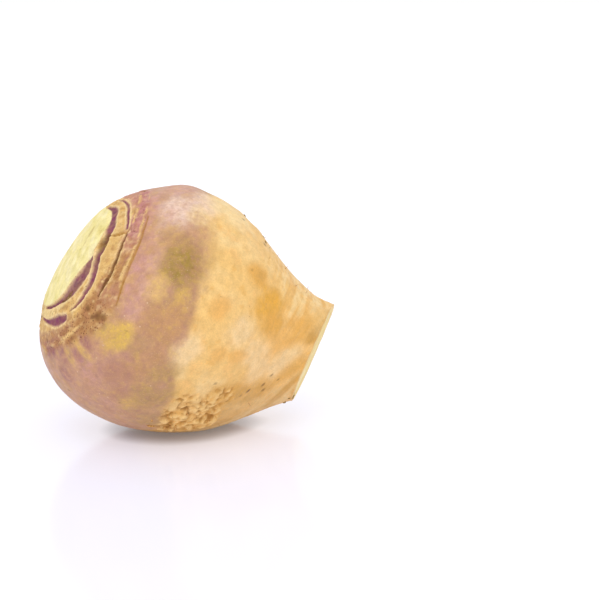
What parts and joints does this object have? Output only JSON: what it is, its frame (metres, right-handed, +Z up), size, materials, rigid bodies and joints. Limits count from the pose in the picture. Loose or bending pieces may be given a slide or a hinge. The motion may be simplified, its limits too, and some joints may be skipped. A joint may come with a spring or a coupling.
{
  "type": "swede",
  "caption": "Whole raw swede lying on its side, a round root with a trimmed, scarred leaf crown and a flat root cut, resting on a small flat.",
  "frame": {"origin": "middle of the small resting flat under the globe, at floor level", "axes": "+Z up, +X from the trimmed crown towards the root cut along the longest side, +Y away from the side the crown is turned to"},
  "size_m": [0.1397, 0.1154, 0.116],
  "materials": {
    "skin": "smooth, dry vegetable skin with a soft satin sheen, mauve towards the crown and cream yellow towards the root"
  },
  "bodies": {
    "root": {"swede": "skin"}
  },
  "joints": []
}
